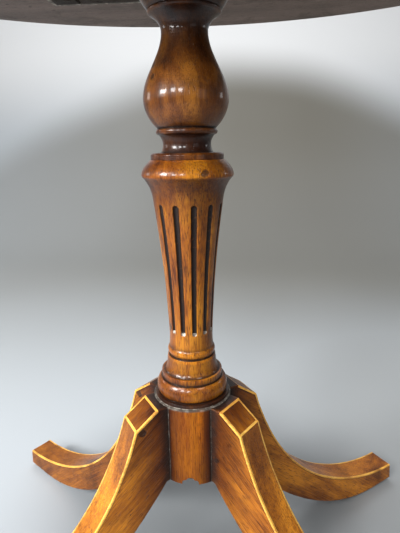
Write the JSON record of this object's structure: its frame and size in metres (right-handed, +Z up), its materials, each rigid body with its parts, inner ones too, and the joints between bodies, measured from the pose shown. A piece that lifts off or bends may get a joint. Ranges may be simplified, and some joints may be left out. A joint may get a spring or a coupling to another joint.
{
  "type": "tilt top table",
  "caption": "Oval tilt-top table on a turned and fluted column with splayed sabre legs; the top hinges up on a block and a sliding bolt locks it flat.",
  "frame": {"origin": "on the floor under the column's axis, centre of the table's footprint", "axes": "+Z up, +X along the oval top's length, -Y the front, where the catch is"},
  "size_m": [0.864, 0.6099, 0.73],
  "materials": {
    "secondary_wood": "oiled, matt",
    "mahogany_top": "french polished",
    "crossband_veneer": "french polished",
    "boxwood": "polished",
    "dark_mahogany": "stained, satin",
    "vase_mahogany": "french polished",
    "shaft_mahogany": "french polished",
    "hub_mahogany": "french polished",
    "leg_mahogany": "french polished",
    "wedge_wood": "plain",
    "steel": "dull",
    "iron": "blackened",
    "brass": "aged",
    "glide_pad": "matt"
  },
  "bodies": {
    "base": {"column_vase": "vase_mahogany", "column_shaft": "shaft_mahogany", "hub": "hub_mahogany", "hub_plate": "iron", "hub_plate_screws": "steel", "tilt_block": "dark_mahogany", "tenon_wedge": "wedge_wood", "keeper_plate": "brass", "keeper_screws": "brass", "leg_front_left": "leg_mahogany", "leg_front_right": "leg_mahogany", "leg_back_left": "leg_mahogany", "leg_back_right": "leg_mahogany", "leg_lines_front_left": "boxwood", "leg_lines_front_right": "boxwood", "leg_lines_back_left": "boxwood", "leg_lines_back_right": "boxwood", "glide_pad_front_left": "glide_pad", "glide_pad_front_right": "glide_pad", "glide_pad_back_left": "glide_pad", "glide_pad_back_right": "glide_pad"},
    "top": {"top_board": "secondary_wood", "top_crossband": "crossband_veneer", "top_line": "boxwood", "top_field": "mahogany_top", "bearer_left": "dark_mahogany", "bearer_right": "dark_mahogany", "pivot_pin_left": "steel", "pivot_pin_right": "steel", "bearer_screws": "steel", "catch_case": "brass", "catch_screws": "brass"},
    "bolt": {"catch_bolt": "brass", "catch_knob": "brass"}
  },
  "joints": [
    {"name": "top_tilt", "type": "hinge", "parent": "base", "child": "top", "pos_m": [0, 0.057, 0.696], "axis": [-1, 0, 0], "range_deg": [0, 90]},
    {"name": "catch_slide", "type": "slide", "parent": "top", "child": "bolt", "axis": [0, 1, 0], "range_m": [0, 0.01]}
  ]
}
